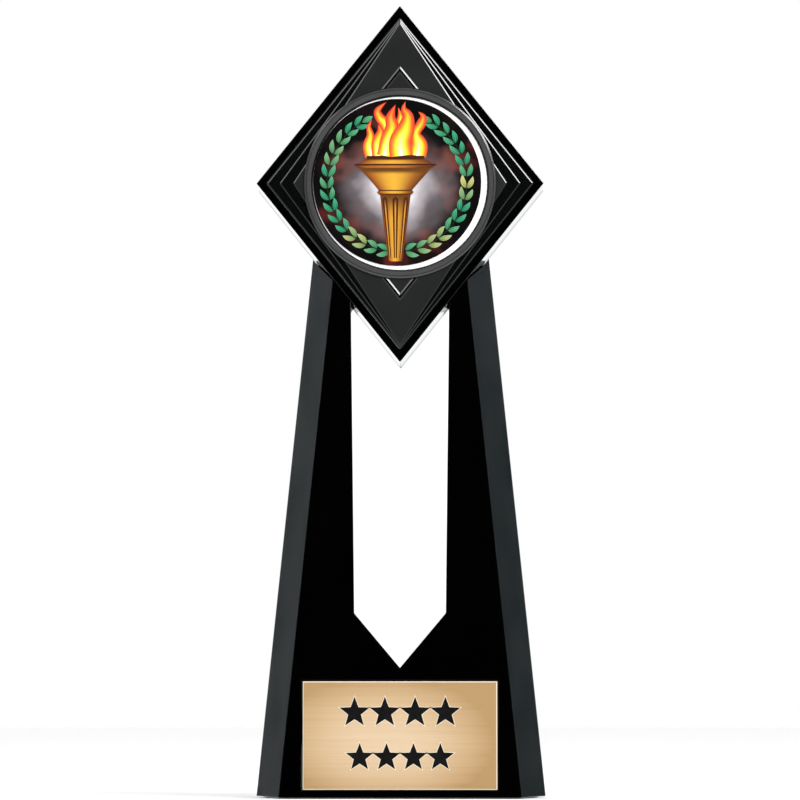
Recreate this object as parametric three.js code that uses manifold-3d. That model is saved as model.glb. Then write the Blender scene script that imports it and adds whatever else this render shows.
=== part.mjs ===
// Column trophy: a tapered, hollow black tower with a see-through window carries a
// diamond-shaped head in a V-shaped notch. The head holds a 2 inch insert disc, and a
// metal plate is stuck to the foot of the tower.
// Millimetres, +X to the right, -Y to the front, +Z up. The origin is the centre of the
// surface that the trophy stands on. "Depth" is measured backwards from the front face.
import * as THREE from "three";
import { mergeVertices } from "three/addons/utils/BufferGeometryUtils.js";
import Module from "manifold-3d";

const wasm = await Module();
wasm.setup();

// ---- driving dimensions ----------------------------------------------------------------
const GAP = 0.3; // clearance between neighbouring pieces
const WALL = 2.2; // moulded wall of the tower

const TOWER_DEPTH = 24; // front face to back rim
const TOWER_FOOT_HALF = 35.7; // half width of the front face at the floor
const TOWER_TAPER = 0.1033; // half width lost per unit of height
const SIDE_DRAFT = 7.65 / TOWER_DEPTH; // half width gained per unit of depth
const SHELL_BOTTOM = 0.3; // the shell's rim stays just clear of the floor
const FLOOR_TOP = 3.8; // inside floor of the shell

const HEAD_CENTRE = 181.9; // height of the diamond's centre
const HEAD_HALF_WIDTH = 42.65; // of its front outline
const HEAD_HALF_HEIGHT = 53.3;
const HEAD_DEPTH = 18;
const HEAD_FLARE = 0.009 / HEAD_DEPTH; // outline growth per unit of depth
const HEAD_WALL = 1.8;
const HEAD_CORNER = 0.5; // rounding of the four tips
const FACE_BACK = 3.4; // depth of the back of the head's front wall

const BORDER = 2.35; // width of the flat rim round the diamond
const GROOVE_DEPTH = 0.35; // groove between the rim and the first terrace
const STEP_RISE = 0.15; // height of each terrace's sloping edge
const TERRACES = [
  // nested rhombic steps up from the groove: half width and half height at the foot and at the
  // crest of the sloping edge, and the depth of the crest
  { foot: [39.5, 49.45], crest: [39.12, 48.97], depth: -0.02 },
  { foot: [35.75, 48.9], crest: [35.38, 48.39], depth: -0.17 },
  { foot: [31.75, 48.35], crest: [31.39, 47.8], depth: -0.32 },
];
const RIDGE = { outer: 35.1, inner: 32.85, slope: 0.7 }; // half heights at its foot
const RIDGE_TOP = -0.54; // depth of its crest

const WINDOW_TIP = 38.4; // lowest point of the window's V-shaped foot
const WINDOW_HALF_FOOT = 13.5; // half width at the V's shoulders
const WINDOW_SLOPE = 1.19; // of the V's two edges
const WINDOW_FLARE = 0.0113; // half width gained per unit of height
const WINDOW_DRAFT = 0.3 / TOWER_DEPTH; // half width lost per unit of depth

const INSERT_DIAMETER = 50.8; // 2 inch print
const RING_RADIUS = 28.45;
const RING_PROUD = 1.1; // the ring stands this far in front of the tower
const RECESS_RADIUS = 26.05;
const RECESS_FLOOR = 1.4; // depth of the insert holder's seat
const HOLDER_BACK = 2.6;
const SPIGOT_RADIUS = 27;

const PLATE_WIDTH = 57.15; // 2 1/4 inch
const PLATE_HEIGHT = 31.75; // 1 1/4 inch
const PLATE_CENTRE = 18.5;
const PLATE_THICKNESS = 0.5;
const PLATE_POCKET = 0.9; // depth of the pocket behind the plate

const COVER_FRONT = 21.4; // depth of the back cover's two faces
const COVER_BACK = 23.8;
const SEAT_BACK = HEAD_DEPTH + GAP; // behind it, the arms rise a little above the seat
const ARM_RISE = 0.4; // from the head's front outline, measured across its edge
const LEDGE_BACK = SEAT_BACK + 2.6; // back of the ledge that the head is screwed to
const LEDGE_TOP = 159; // height of the ledge's two ends
const HEAD_COVER_FRONT = 15.4;
const HEAD_COVER_BACK = 17.6;

const PAD_THICKNESS = 1;
const PAD_RIM = 1.6; // width of the shell's rim round the pad

// radii and depths of the screw bosses and bores
const COVER_BOSS = { radius: 2.9, front: 1, back: COVER_FRONT - GAP };
const COVER_BORE = { radius: 1.5, front: 12, back: TOWER_DEPTH };
const BALLAST_BOSS = { radius: 3.4, front: 1, back: 9 };
const BALLAST_BORE = { radius: 1.9, front: 3.6, back: 12 };
const LEDGE_BORE = { radius: 1.6, front: 17, back: 23 };
const HEAD_BOSS = { radius: 2.6, front: FACE_BACK - 1, back: HEAD_COVER_FRONT - GAP };
const HEAD_BORE = { radius: 1.5, front: FACE_BACK + 0.4, back: HEAD_DEPTH };
const CLEAR_BORE = 1.6; // radius of the covers' screw holes
const COUNTERBORE = { radius: 3, depth: 1.4 };
const COVER_SCREWS = [
  { x: 32, z: 9.5 },
  { x: 23, z: 88 },
  { x: 20.6, z: 137 },
];
const BALLAST = { halfWidth: 26, bottom: 4.4, top: 28.4, front: 3.5, back: 17.5 };
const BALLAST_SCREW = { x: 18, z: 16.4 };
const RIB_HEIGHTS = [66, 112]; // stiffening ribs inside the legs

// ---- derived values --------------------------------------------------------------------
const FRONT_Y = RING_PROUD - (TOWER_DEPTH + RING_PROUD) / 2;
const EDGE_SLOPE = HEAD_HALF_HEIGHT / HEAD_HALF_WIDTH;
const EDGE_LENGTH = Math.hypot(1, EDGE_SLOPE); // rise along Z of one unit across the edge
const FOOT_LENGTH = Math.hypot(1, WINDOW_SLOPE); // the same for the window's V
const RIDGE_FOOT = TERRACES[TERRACES.length - 1].depth; // the middle panel that it stands on
const SIDE_WALL = WALL * Math.hypot(1, SIDE_DRAFT); // side wall measured along X
const BEYOND = 5; // how far cutters run past what they cut
const TALL = 260; // above the whole trophy
const ASIDE = 60; // to the side of the whole trophy
const ROUND = 80; // segments of the large round pieces

// ---- geometry helpers ------------------------------------------------------------------
function toSolid(geometry) {
  const bare = geometry.clone();
  bare.deleteAttribute("normal");
  bare.deleteAttribute("uv");
  const merged = mergeVertices(bare, 1e-5);
  const mesh = new wasm.Mesh({
    numProp: 3,
    vertProperties: merged.attributes.position.array,
    triVerts: new Uint32Array(merged.index.array),
  });
  return new wasm.Manifold(mesh);
}

function toGeometry(solid) {
  const mesh = solid.getMesh();
  const geometry = new THREE.BufferGeometry();
  geometry.setAttribute("position", new THREE.BufferAttribute(mesh.vertProperties, 3));
  geometry.setIndex(new THREE.BufferAttribute(mesh.triVerts, 1));
  geometry.computeVertexNormals();
  return geometry;
}

function union(solids) {
  return solids.reduce((whole, solid) => whole.add(solid));
}

// A closed outline in X and Z. With a radius, each corner is rounded.
function outline(points, radius = 0) {
  const corners = points.map(([x, z]) => new THREE.Vector2(x, z));
  if (radius === 0) {
    return new THREE.Shape(corners);
  }
  const shape = new THREE.Shape();
  corners.forEach((corner, i) => {
    const before = corners[(i + corners.length - 1) % corners.length];
    const after = corners[(i + 1) % corners.length];
    const start = corner.clone().add(before.clone().sub(corner).setLength(radius));
    const end = corner.clone().add(after.clone().sub(corner).setLength(radius));
    if (i === 0) {
      shape.moveTo(start.x, start.y);
    } else {
      shape.lineTo(start.x, start.y);
    }
    shape.quadraticCurveTo(corner.x, corner.y, end.x, end.y);
  });
  shape.closePath();
  return shape;
}

// An outline pushed from one depth to another. draft(x, z, depth) moves the points of each
// depth, which gives the sloping walls.
function prism(shape, front, back, draft) {
  const options = { depth: back - front, steps: 1, bevelEnabled: false, curveSegments: 4 };
  const geometry = new THREE.ExtrudeGeometry(shape, options);
  geometry.rotateX(Math.PI / 2);
  geometry.translate(0, FRONT_Y + back, 0);
  if (draft) {
    const position = geometry.attributes.position;
    for (let i = 0; i < position.count; i += 1) {
      const depth = position.getY(i) - FRONT_Y;
      const [x, z] = draft(position.getX(i), position.getZ(i), depth);
      position.setX(i, x);
      position.setZ(i, z);
    }
  }
  return toSolid(geometry);
}

// A round bar or bore that runs along the depth.
function rod(radius, { x, z }, front, back, segments = 16) {
  const geometry = new THREE.CylinderGeometry(radius, radius, back - front, segments);
  geometry.translate(x, FRONT_Y + (front + back) / 2, z);
  return toSolid(geometry);
}

// A body of revolution about the depth axis; the profile is a list of [radius, depth].
function turned(profile, { x, z }, segments) {
  const points = profile.map(([radius, depth]) => new THREE.Vector2(radius, depth));
  const geometry = new THREE.LatheGeometry(points, segments);
  geometry.translate(x, FRONT_Y, z);
  return geometry;
}

function mirrored(places) {
  return places.flatMap(({ x, z }) => [{ x: -x, z }, { x, z }]);
}

// ---- drafts and outlines shared by several pieces ---------------------------------------
const sideDraft = (x, z, depth) => [x + Math.sign(x) * SIDE_DRAFT * depth, z];

const headDraft = (x, z, depth) => {
  const scale = 1 + HEAD_FLARE * Math.max(depth, 0);
  return [x * scale, HEAD_CENTRE + (z - HEAD_CENTRE) * scale];
};

// The window's walls close in towards the back; its top end lies above the tower.
const windowDraft = (x, z, depth) => {
  const inwards = WINDOW_DRAFT * depth;
  const lift = x === 0 ? FOOT_LENGTH : FOOT_LENGTH - WINDOW_SLOPE;
  return [x - Math.sign(x) * inwards, z + (z < HEAD_CENTRE / 2 ? inwards * lift : 0)];
};

// Scales outlines about the head's centre, from 1 at one depth to a ratio at another.
function growth(from, to, ratioX, ratioZ = ratioX) {
  return (x, z, depth) => {
    const share = (depth - from) / (to - from);
    const height = z - HEAD_CENTRE;
    return [
      x * (1 + (ratioX - 1) * share),
      HEAD_CENTRE + height * (1 + (ratioZ - 1) * share),
    ];
  };
}

function towerHalf(height) {
  return TOWER_FOOT_HALF - TOWER_TAPER * height;
}

// The tower's front outline, moved inwards by an inset and starting at a given height.
function towerOutline(bottom, inset) {
  const top = 168;
  return outline([
    [-towerHalf(bottom) + inset, bottom],
    [towerHalf(bottom) - inset, bottom],
    [towerHalf(top) - inset, top],
    [-towerHalf(top) + inset, top],
  ]);
}

// Everything above the head's two lower edges, moved outwards by an offset.
function notchOutline(offset) {
  const tip = HEAD_CENTRE - HEAD_HALF_HEIGHT - offset * EDGE_LENGTH;
  return outline([
    [0, tip],
    [ASIDE, tip + ASIDE * EDGE_SLOPE],
    [ASIDE, TALL],
    [-ASIDE, TALL],
    [-ASIDE, tip + ASIDE * EDGE_SLOPE],
  ]);
}

// Cuts away the notch, moved outwards by an offset: at the front it clears the head's
// flaring edge, and behind the head it runs straight back.
function notchCut(offset) {
  const front = prism(notchOutline(GAP + offset), -BEYOND, SEAT_BACK + offset, headDraft);
  const behind = notchOutline(offset - ARM_RISE);
  return front.add(prism(behind, SEAT_BACK - 1, TOWER_DEPTH + 2 * BEYOND));
}

// The window, grown by an offset; it runs up into the notch.
function windowOutline(offset) {
  const tip = WINDOW_TIP - offset * FOOT_LENGTH;
  const foot = WINDOW_HALF_FOOT + offset;
  const shoulder = tip + foot * WINDOW_SLOPE;
  const top = 175;
  const head = foot + WINDOW_FLARE * (top - shoulder);
  return outline([
    [0, tip],
    [foot, shoulder],
    [head, top],
    [-head, top],
    [-foot, shoulder],
  ]);
}

function rhombus(halfWidth, halfHeight, radius = 0) {
  const points = [
    [0, HEAD_CENTRE - halfHeight],
    [halfWidth, HEAD_CENTRE],
    [0, HEAD_CENTRE + halfHeight],
    [-halfWidth, HEAD_CENTRE],
  ];
  return outline(points, radius);
}

// The head's outline, moved inwards by an inset.
function headOutline(inset, radius = 0) {
  const span = Math.hypot(HEAD_HALF_WIDTH, HEAD_HALF_HEIGHT);
  const scale = 1 - (inset * span) / (HEAD_HALF_WIDTH * HEAD_HALF_HEIGHT);
  return rhombus(HEAD_HALF_WIDTH * scale, HEAD_HALF_HEIGHT * scale, radius);
}

// A point near the head's lower right edge: an inset from the edge, and a distance towards
// the lower tip from the middle of the inscribed circle's touching point.
function headEdgePoint(inset, towardsTip) {
  const reach = HEAD_HALF_WIDTH * (EDGE_SLOPE / EDGE_LENGTH) - inset;
  return {
    x: (reach * EDGE_SLOPE - towardsTip) / EDGE_LENGTH,
    z: HEAD_CENTRE - (reach + towardsTip * EDGE_SLOPE) / EDGE_LENGTH,
  };
}

const COVER_SCREW_PLACES = mirrored(COVER_SCREWS);
const BALLAST_SCREW_PLACES = mirrored([BALLAST_SCREW]);
const HEAD_SCREW_PLACES = mirrored([headEdgePoint(5.2, 12), headEdgePoint(5.2, 25)]);
const HEAD_PLACE = { x: 0, z: HEAD_CENTRE };

// ---- tower -----------------------------------------------------------------------------
function towerCavity() {
  return prism(towerOutline(FLOOR_TOP, SIDE_WALL), WALL, TOWER_DEPTH + BEYOND, sideDraft)
    .subtract(prism(windowOutline(WALL), -BEYOND, TOWER_DEPTH + 2 * BEYOND))
    .subtract(notchCut(WALL));
}

function windowCut() {
  return prism(windowOutline(0), -BEYOND, TOWER_DEPTH + BEYOND, windowDraft);
}

// The strap behind the head's lower edges; across the window it is set in from the edges,
// so that it stays hidden behind the head.
function headLedge(outer) {
  const setIn = 2;
  const inner = 9.4;
  const overWindow = prism(windowOutline(0), SEAT_BACK - 1, LEDGE_BACK + 1).subtract(
    prism(notchOutline(-setIn), SEAT_BACK - 2, LEDGE_BACK + 2, headDraft),
  );
  const aboveEnds = outline([
    [-ASIDE, LEDGE_TOP],
    [ASIDE, LEDGE_TOP],
    [ASIDE, TALL],
    [-ASIDE, TALL],
  ]);
  return prism(notchOutline(GAP + WALL / 2), SEAT_BACK, LEDGE_BACK, headDraft)
    .subtract(prism(notchOutline(-inner), SEAT_BACK - 1, LEDGE_BACK + 1, headDraft))
    .subtract(prism(aboveEnds, SEAT_BACK - 1, LEDGE_BACK + 1))
    .subtract(overWindow)
    .intersect(outer);
}

function towerRibs() {
  const thickness = 1.4;
  const short = 3; // the ribs stop this far in front of the cover
  const ribs = RIB_HEIGHTS.map((height) => {
    const band = outline([
      [-ASIDE, height],
      [ASIDE, height],
      [ASIDE, height + thickness],
      [-ASIDE, height + thickness],
    ]);
    return prism(band, 1, COVER_FRONT - short);
  });
  return union(ribs);
}

// The pad's outline seen from below, moved inwards from the rim by an inset.
function padOutline(inset) {
  const front = PAD_RIM + inset;
  const back = TOWER_DEPTH - PAD_RIM - inset;
  const half = (depth) => TOWER_FOOT_HALF + SIDE_DRAFT * depth - PAD_RIM - inset;
  return new THREE.Shape([
    new THREE.Vector2(-half(front), FRONT_Y + front),
    new THREE.Vector2(half(front), FRONT_Y + front),
    new THREE.Vector2(half(back), FRONT_Y + back),
    new THREE.Vector2(-half(back), FRONT_Y + back),
  ]);
}

function padBlock(inset, bottom, top) {
  const options = { depth: top - bottom, steps: 1, bevelEnabled: false };
  const geometry = new THREE.ExtrudeGeometry(padOutline(inset), options);
  geometry.translate(0, 0, bottom);
  return geometry;
}

function plateOutline(inset) {
  const halfWidth = PLATE_WIDTH / 2 - inset;
  const halfHeight = PLATE_HEIGHT / 2 - inset;
  return outline([
    [-halfWidth, PLATE_CENTRE - halfHeight],
    [halfWidth, PLATE_CENTRE - halfHeight],
    [halfWidth, PLATE_CENTRE + halfHeight],
    [-halfWidth, PLATE_CENTRE + halfHeight],
  ]);
}

function rods({ radius, front, back }, places) {
  return union(places.map((place) => rod(radius, place, front, back)));
}

function towerShell() {
  const outer = prism(towerOutline(SHELL_BOTTOM, 0), 0, TOWER_DEPTH, sideDraft);
  const fittings = towerRibs()
    .add(rods(COVER_BOSS, COVER_SCREW_PLACES))
    .add(rods(BALLAST_BOSS, BALLAST_SCREW_PLACES))
    .subtract(windowCut())
    .subtract(notchCut(0))
    .intersect(outer);
  return outer
    .subtract(towerCavity())
    .subtract(windowCut())
    .subtract(notchCut(0))
    .add(headLedge(outer))
    .add(fittings)
    .subtract(prism(plateOutline(-GAP), -BEYOND, PLATE_POCKET))
    .subtract(toSolid(padBlock(0, -BEYOND, PAD_THICKNESS + GAP)))
    .subtract(rods(COVER_BORE, COVER_SCREW_PLACES))
    .subtract(rods(BALLAST_BORE, BALLAST_SCREW_PLACES))
    .subtract(rods(LEDGE_BORE, HEAD_SCREW_PLACES));
}

function towerBackCover() {
  const past = COVER_BACK + BEYOND;
  const bore = { radius: CLEAR_BORE, front: COVER_FRONT - 1, back: past };
  const head = { radius: COUNTERBORE.radius, front: COVER_BACK - COUNTERBORE.depth, back: past };
  return prism(towerOutline(FLOOR_TOP + GAP, SIDE_WALL + GAP), COVER_FRONT, COVER_BACK, sideDraft)
    .subtract(prism(windowOutline(WALL + GAP), 0, past))
    .subtract(prism(notchOutline(WALL + GAP), 0, past))
    .subtract(rods(bore, COVER_SCREW_PLACES))
    .subtract(rods(head, COVER_SCREW_PLACES));
}

function ballastBlock() {
  const { halfWidth, bottom, top, front, back } = BALLAST;
  const corner = 2;
  const bossBore = { radius: BALLAST_BOSS.radius + 0.4, front: 0, back: BALLAST_BOSS.back + 0.4 };
  const screwBore = { radius: 2.1, front: 5, back: back + BEYOND };
  const block = outline(
    [
      [-halfWidth, bottom],
      [halfWidth, bottom],
      [halfWidth, top],
      [-halfWidth, top],
    ],
    corner,
  );
  return prism(block, front, back)
    .subtract(rods(bossBore, BALLAST_SCREW_PLACES))
    .subtract(rods(screwBore, BALLAST_SCREW_PLACES));
}

// ---- screws ----------------------------------------------------------------------------
// A pan-head screw driven from the back, with a cross recess. "seat" is the depth of the
// head's underside, and the point lies a length further to the front.
function screw({ seat, length, shank, head, headHeight }, place) {
  const point = seat - length;
  const back = seat + headHeight;
  const segments = 14;
  const profile = [
    [0, point],
    [shank * 0.45, point + 0.3],
    [shank, point + 1.6],
    [shank, seat],
    [head, seat],
    [head, back - headHeight * 0.45],
    [head * 0.72, back],
    [0, back],
  ];
  const slotLength = head * 1.05;
  const slotWidth = head * 0.28;
  const slotDepth = headHeight * 0.6;
  const slots = [slotLength, slotWidth].map((width) => {
    const height = slotLength + slotWidth - width;
    const slot = new THREE.BoxGeometry(width, slotDepth * 2, height);
    slot.translate(place.x, FRONT_Y + back, place.z);
    return toSolid(slot);
  });
  return toSolid(turned(profile, place, segments)).subtract(union(slots));
}

const COVER_SCREW = {
  seat: COVER_BACK - COUNTERBORE.depth + GAP,
  length: 9,
  shank: 1.2,
  head: 2.6,
  headHeight: 1.1,
};
const HEAD_SCREW = { seat: LEDGE_BACK + GAP, length: 11, shank: 1.2, head: 2.5, headHeight: 1.5 };
const WEIGHT_SCREW = {
  seat: BALLAST.back + GAP,
  length: 13,
  shank: 1.6,
  head: 3.3,
  headHeight: 2,
};

// ---- diamond head ----------------------------------------------------------------------
// The face drops into a groove inside the rim and steps up past it to the middle panel.
function headFace(body) {
  const steps = TERRACES.map(({ foot, crest, depth }) => {
    const footDepth = depth + STEP_RISE;
    const spread = growth(depth, footDepth, foot[0] / crest[0], foot[1] / crest[1]);
    const edge = prism(rhombus(...crest), depth, footDepth, spread);
    return edge.add(prism(rhombus(...foot), footDepth, FACE_BACK));
  });
  return body.subtract(prism(headOutline(BORDER), -BEYOND, GROOVE_DEPTH)).add(union(steps));
}

// Only the ridge's upper and lower chevrons show; the insert ring covers the rest.
function headRidge() {
  const above = RIDGE_TOP - 1;
  const outerCrest = RIDGE.outer - RIDGE.slope;
  const innerCrest = RIDGE.inner + RIDGE.slope;
  const spread = growth(RIDGE_TOP, RIDGE_FOOT, RIDGE.outer / outerCrest);
  const narrow = growth(RIDGE_TOP, RIDGE_FOOT, RIDGE.inner / innerCrest);
  return prism(rhombus(outerCrest / EDGE_SLOPE, outerCrest), RIDGE_TOP, RIDGE_FOOT + GAP, spread)
    .subtract(prism(rhombus(innerCrest / EDGE_SLOPE, innerCrest), above, RIDGE_FOOT, narrow))
    .subtract(rod(RING_RADIUS + GAP, HEAD_PLACE, above, RIDGE_FOOT, ROUND));
}

function headShell() {
  const body = prism(headOutline(0, HEAD_CORNER), 0, HEAD_DEPTH, headDraft);
  const hollow = prism(headOutline(HEAD_WALL), FACE_BACK, HEAD_DEPTH + BEYOND, headDraft);
  const seat = rod(SPIGOT_RADIUS + GAP, HEAD_PLACE, -BEYOND, FACE_BACK + 1, ROUND);
  return headFace(body.subtract(hollow))
    .add(headRidge())
    .add(rods(HEAD_BOSS, HEAD_SCREW_PLACES))
    .subtract(seat)
    .subtract(rods(HEAD_BORE, HEAD_SCREW_PLACES));
}

function headBackCover() {
  const bore = { radius: CLEAR_BORE, front: HEAD_COVER_FRONT - 1, back: HEAD_DEPTH };
  const cover = prism(
    headOutline(HEAD_WALL + GAP),
    HEAD_COVER_FRONT,
    HEAD_COVER_BACK,
    headDraft,
  );
  return cover.subtract(rods(bore, HEAD_SCREW_PLACES));
}

// ---- insert ----------------------------------------------------------------------------
const ADHESIVE = { radius: 23.5, front: 0.7, back: 1.1 };
const DISC = { radius: RECESS_RADIUS - 0.15, front: -0.2, back: 0.4 };
const PRINT = { radius: INSERT_DIAMETER / 2 - 0.45, front: -0.7, back: -0.5 };
const PRINT_PLACE = { x: -0.85, z: HEAD_CENTRE + 0.25 }; // stuck on slightly off centre

function insertHolder() {
  const flangeBack = RIDGE_FOOT - GAP;
  const lip = 0.45; // chamfer inside the flat band
  const bevel = 0.6; // and outside it
  const front = -RING_PROUD;
  const profile = [
    [0, HOLDER_BACK],
    [0, RECESS_FLOOR],
    [RECESS_RADIUS, RECESS_FLOOR],
    [RECESS_RADIUS, front + lip],
    [RECESS_RADIUS + lip, front],
    [RING_RADIUS - bevel, front],
    [RING_RADIUS, front + 0.5 * bevel],
    [RING_RADIUS, flangeBack],
    [SPIGOT_RADIUS, flangeBack],
    [SPIGOT_RADIUS, HOLDER_BACK],
    [0, HOLDER_BACK],
  ];
  return toSolid(turned(profile, HEAD_PLACE, ROUND));
}

function insertLayer({ radius, front, back }, centre = HEAD_PLACE) {
  return rod(radius, centre, front, back, ROUND);
}

// ---- assembly --------------------------------------------------------------------------
const trophy = new THREE.Group();

function addPiece(name, solid, color, roughness, metalness) {
  const material = new THREE.MeshStandardMaterial({ color, roughness, metalness });
  const mesh = new THREE.Mesh(toGeometry(solid), material);
  mesh.name = name;
  trophy.add(mesh);
}

const GLOSS_BLACK = [0x060606, 0.12, 0];
const MATTE_BLACK = [0x141415, 0.55, 0];
const PLATED_STEEL = [0xa9abad, 0.35, 1];
const FOAM_TAPE = [0xd8d8d2, 0.95, 0];

function addScrews(name, size, places) {
  places.forEach((place, i) => addPiece(`${name}_${i + 1}`, screw(size, place), ...PLATED_STEEL));
}

addPiece("tower_shell", towerShell(), ...GLOSS_BLACK);
addPiece("tower_back_cover", towerBackCover(), ...MATTE_BLACK);
addScrews("cover_screw", COVER_SCREW, COVER_SCREW_PLACES);
addPiece("ballast_block", ballastBlock(), 0x3a3a3c, 0.7, 0.8);
addScrews("ballast_screw", WEIGHT_SCREW, BALLAST_SCREW_PLACES);
addPiece("base_pad", toSolid(padBlock(GAP, 0, PAD_THICKNESS)), 0x1a1a1a, 1, 0);

addPiece("head_shell", headShell(), ...GLOSS_BLACK);
addPiece("head_back_cover", headBackCover(), ...MATTE_BLACK);
addScrews("head_screw", HEAD_SCREW, HEAD_SCREW_PLACES);

addPiece("insert_holder", insertHolder(), 0x4d4d4d, 0.4, 0);
addPiece("insert_adhesive", insertLayer(ADHESIVE), ...FOAM_TAPE);
addPiece("insert_disc", insertLayer(DISC), 0xf4f4f2, 0.4, 0);
addPiece("insert_print", insertLayer(PRINT, PRINT_PLACE), 0x3b2a28, 0.25, 0);

const plate = prism(plateOutline(0), -PLATE_THICKNESS, 0);
addPiece("engraved_plate", plate, 0xd9b98c, 0.35, 1);
const TAPE_MARGIN = 1.5; // from the plate's edge to its tape
const plateTape = prism(plateOutline(TAPE_MARGIN), GAP, PLATE_POCKET - GAP);
addPiece("plate_adhesive", plateTape, ...FOAM_TAPE);

export default trophy;
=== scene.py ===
"""Looks of the column trophy: fine meshes, procedural materials, studio light and camera.

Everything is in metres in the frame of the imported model. MM turns the drawing's millimetres
into metres. "Depth" is measured backwards from the tower's front face.
"""

import math
import random

import bmesh
import bpy
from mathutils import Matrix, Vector


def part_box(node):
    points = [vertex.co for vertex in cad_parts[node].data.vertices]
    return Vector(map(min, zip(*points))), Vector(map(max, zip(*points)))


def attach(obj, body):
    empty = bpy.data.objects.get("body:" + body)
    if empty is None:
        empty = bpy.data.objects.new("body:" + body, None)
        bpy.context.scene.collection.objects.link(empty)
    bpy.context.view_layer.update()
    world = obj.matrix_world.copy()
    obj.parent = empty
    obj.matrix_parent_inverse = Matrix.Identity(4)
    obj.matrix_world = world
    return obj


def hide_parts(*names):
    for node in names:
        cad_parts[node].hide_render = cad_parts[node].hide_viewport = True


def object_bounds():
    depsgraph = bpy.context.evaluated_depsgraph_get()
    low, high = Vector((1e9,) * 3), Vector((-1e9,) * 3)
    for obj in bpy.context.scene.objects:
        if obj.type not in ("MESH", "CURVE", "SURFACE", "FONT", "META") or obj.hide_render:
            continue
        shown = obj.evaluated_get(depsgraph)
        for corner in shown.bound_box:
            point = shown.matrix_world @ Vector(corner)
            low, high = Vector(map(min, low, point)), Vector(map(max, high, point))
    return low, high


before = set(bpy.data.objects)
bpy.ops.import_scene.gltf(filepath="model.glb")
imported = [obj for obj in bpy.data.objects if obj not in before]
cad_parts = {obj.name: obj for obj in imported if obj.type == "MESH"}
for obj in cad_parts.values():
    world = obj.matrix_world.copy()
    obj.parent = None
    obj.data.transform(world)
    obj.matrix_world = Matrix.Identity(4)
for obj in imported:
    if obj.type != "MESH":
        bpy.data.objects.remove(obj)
cad_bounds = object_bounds()

MM = 0.001

# ---- places taken from the frame ----
TOWER_LOW, TOWER_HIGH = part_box("tower_shell")
HEAD_LOW, HEAD_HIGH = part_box("head_shell")
PLATE_LOW, PLATE_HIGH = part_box("engraved_plate")
DISC_LOW, DISC_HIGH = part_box("insert_disc")
PRINT_LOW, PRINT_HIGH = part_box("insert_print")
HOLDER_LOW, HOLDER_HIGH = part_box("insert_holder")

FRONT_Y = TOWER_LOW.y
TOWER_DEPTH = (TOWER_HIGH.y - TOWER_LOW.y) / MM
HEAD_CENTRE = (HEAD_LOW.z + HEAD_HIGH.z) / 2 / MM
PLATE_CENTRE = (PLATE_LOW.z + PLATE_HIGH.z) / 2 / MM
PLATE_HALF_WIDTH = (PLATE_HIGH.x - PLATE_LOW.x) / 2 / MM
PLATE_HALF_HEIGHT = (PLATE_HIGH.z - PLATE_LOW.z) / 2 / MM

# ---- dimensions of the mouldings, in millimetres ----
GAP = 0.3
TOWER_FOOT_HALF = 35.7
TOWER_TAPER = 0.1033
SIDE_DRAFT = 7.65 / TOWER_DEPTH
WINDOW_TIP = 38.4
WINDOW_HALF_FOOT = 13.5
WINDOW_SLOPE = 1.19
WINDOW_FLARE = 0.0113
WINDOW_DRAFT = 0.3 / TOWER_DEPTH

HEAD_HALF_WIDTH = 42.65
HEAD_HALF_HEIGHT = 53.3
HEAD_DEPTH = 18
HEAD_FLARE = 0.009 / HEAD_DEPTH
HEAD_WALL = 1.8
FACE_BACK = 3.4
SEAT_GAP = 0.05  # the fine seat comes closer to the head than the drawing's
ARM_RISE = 0.4  # of the arms' tops behind the head, across its edge
BORDER = 2.35
EDGE_SLOPE = HEAD_HALF_HEIGHT / HEAD_HALF_WIDTH
EDGE_LENGTH = math.hypot(1, EDGE_SLOPE)
FOOT_LENGTH = math.hypot(1, WINDOW_SLOPE)

NEAR = 0.06  # how close a point of the CAD mesh lies to the surface it is on
ROUND_SEGMENTS = 224


def place(x, depth, z):
    """A point of the drawing, in metres."""
    return Vector((x * MM, FRONT_Y + depth * MM, z * MM))


def depth_of(y):
    return (y - FRONT_Y) / MM


def drawn(vertex):
    """Where a vertex is in the drawing: x, depth and z in millimetres."""
    return vertex.co.x / MM, depth_of(vertex.co.y), vertex.co.z / MM


# ---- mesh helpers ----
def new_object(name, bm, material=None):
    mesh = bpy.data.meshes.new(name)
    bm.to_mesh(mesh)
    bm.free()
    obj = bpy.data.objects.new(name, mesh)
    bpy.context.scene.collection.objects.link(obj)
    if material is not None:
        mesh.materials.append(material)
    return obj


def mesh_from(name, vertices, faces, material=None):
    bm = bmesh.new()
    made = [bm.verts.new(vertex) for vertex in vertices]
    for face in faces:
        bm.faces.new([made[i] for i in face])
    bmesh.ops.recalc_face_normals(bm, faces=bm.faces)
    return new_object(name, bm, material)


def add_prism(bm, front, back):
    """Adds the closed solid between two loops of equal length."""
    near = [bm.verts.new(point) for point in front]
    far = [bm.verts.new(point) for point in back]
    bm.faces.new(near)
    bm.faces.new(far[::-1])
    for a in range(len(near)):
        b = (a + 1) % len(near)
        bm.faces.new((near[a], far[a], far[b], near[b]))


def polish(obj, sharp_degrees=32):
    """Smooth shading in which large flat faces stay flat."""
    obj.data.shade_smooth()
    obj.data.set_sharp_from_angle(angle=math.radians(sharp_degrees))
    weighted = obj.modifiers.new("flat_faces", "WEIGHTED_NORMAL")
    weighted.keep_sharp = True
    return obj


def boolean(obj, other, operation):
    """Cuts or joins with another object, which is used up."""
    modifier = obj.modifiers.new("cut", "BOOLEAN")
    modifier.operation = operation
    modifier.object = other
    modifier.solver = "EXACT"
    graph = bpy.context.evaluated_depsgraph_get()
    result = bpy.data.meshes.new_from_object(obj.evaluated_get(graph))
    obj.modifiers.clear()
    old = obj.data
    obj.data = result
    result.name = obj.name
    bpy.data.meshes.remove(old)
    bpy.data.objects.remove(other)
    return obj


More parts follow.
